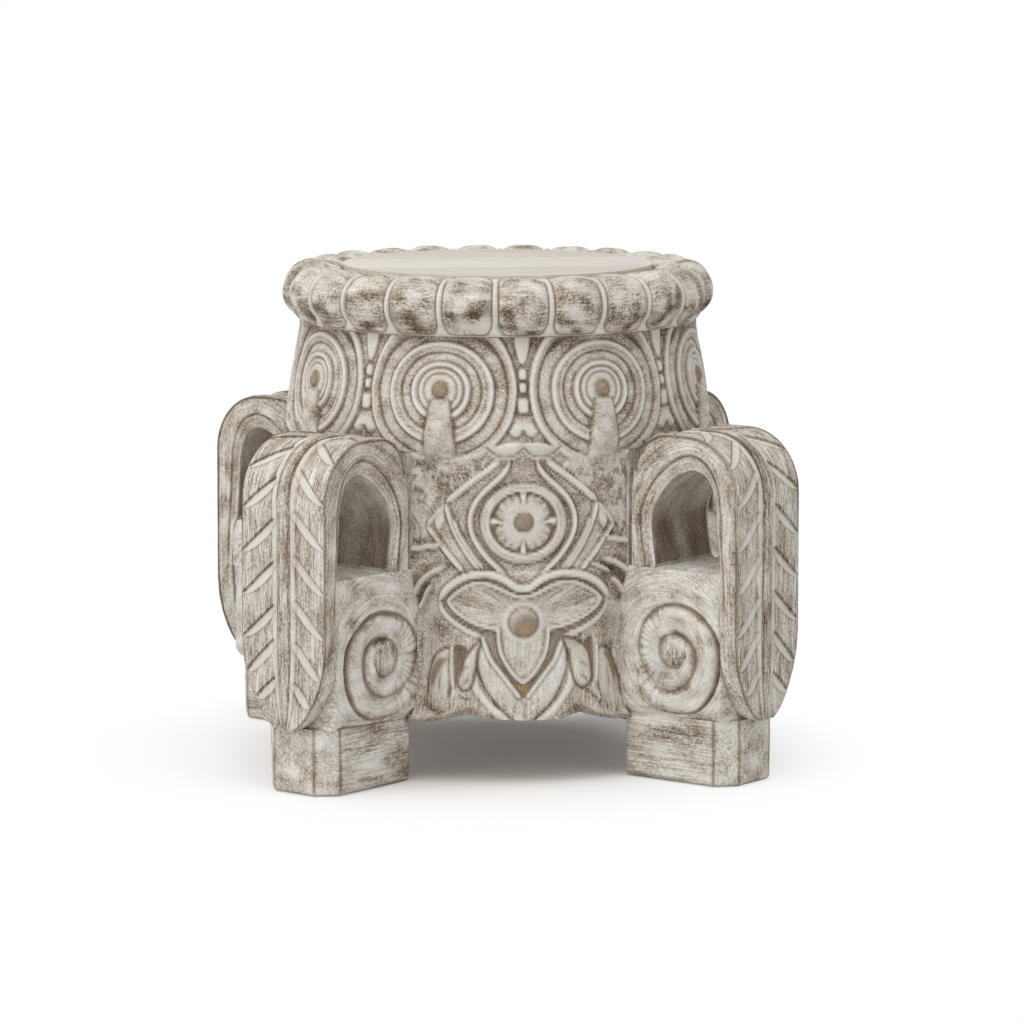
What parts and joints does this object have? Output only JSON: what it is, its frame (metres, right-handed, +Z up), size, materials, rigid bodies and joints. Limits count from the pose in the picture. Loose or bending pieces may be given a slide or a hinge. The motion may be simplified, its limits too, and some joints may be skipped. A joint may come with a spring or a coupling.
{
  "type": "carved pedestal stool",
  "caption": "Round drum-shaped wooden stool with a gadrooned seat rim, carved flared neck and apron, and arched strap legs with scrolls on block feet.",
  "frame": {"origin": "centre of the stool on the floor, between the feet", "axes": "+Z up through the seat's centre; legs lie along +X, -X, +Y and -Y; carved apron faces look along the diagonals, the pictured one along +X -Y"},
  "size_m": [0.576, 0.576, 0.427],
  "materials": {
    "whitewashed_wood": "whitewashed, matt",
    "bare_wood": "bare, planed",
    "screw_steel": "zinc"
  },
  "bodies": {
    "root": {"apron_panel_front": "whitewashed_wood", "apron_panel_left": "whitewashed_wood", "apron_panel_rear": "whitewashed_wood", "apron_panel_right": "whitewashed_wood", "cross_rail_lower": "bare_wood", "cross_rail_upper": "bare_wood", "foot_dowels": "bare_wood", "foot_front_left": "whitewashed_wood", "foot_front_right": "whitewashed_wood", "foot_rear_left": "whitewashed_wood", "foot_rear_right": "whitewashed_wood", "leg_dowels": "bare_wood", "leg_strap_front_left": "whitewashed_wood", "leg_strap_front_right": "whitewashed_wood", "leg_strap_rear_left": "whitewashed_wood", "leg_strap_rear_right": "whitewashed_wood", "neck_dowels": "bare_wood", "neck_stave_1": "whitewashed_wood", "neck_stave_2": "whitewashed_wood", "neck_stave_3": "whitewashed_wood", "neck_stave_4": "whitewashed_wood", "neck_stave_5": "whitewashed_wood", "neck_stave_6": "whitewashed_wood", "neck_stave_7": "whitewashed_wood", "neck_stave_8": "whitewashed_wood", "panel_dowels": "bare_wood", "rim_segment_01": "whitewashed_wood", "rim_segment_02": "whitewashed_wood", "rim_segment_03": "whitewashed_wood", "rim_segment_04": "whitewashed_wood", "rim_segment_05": "whitewashed_wood", "rim_segment_06": "whitewashed_wood", "rim_segment_07": "whitewashed_wood", "rim_segment_08": "whitewashed_wood", "rim_segment_09": "whitewashed_wood", "rim_segment_10": "whitewashed_wood", "rim_segment_11": "whitewashed_wood", "rim_segment_12": "whitewashed_wood", "scroll_block_front_left": "whitewashed_wood", "scroll_block_front_right": "whitewashed_wood", "scroll_block_rear_left": "whitewashed_wood", "scroll_block_rear_right": "whitewashed_wood", "seat_batten_left": "bare_wood", "seat_batten_right": "bare_wood", "seat_board_front": "whitewashed_wood", "seat_board_middle": "whitewashed_wood", "seat_board_rear": "whitewashed_wood", "seat_screws": "screw_steel", "seat_splines": "bare_wood"}
  },
  "joints": []
}
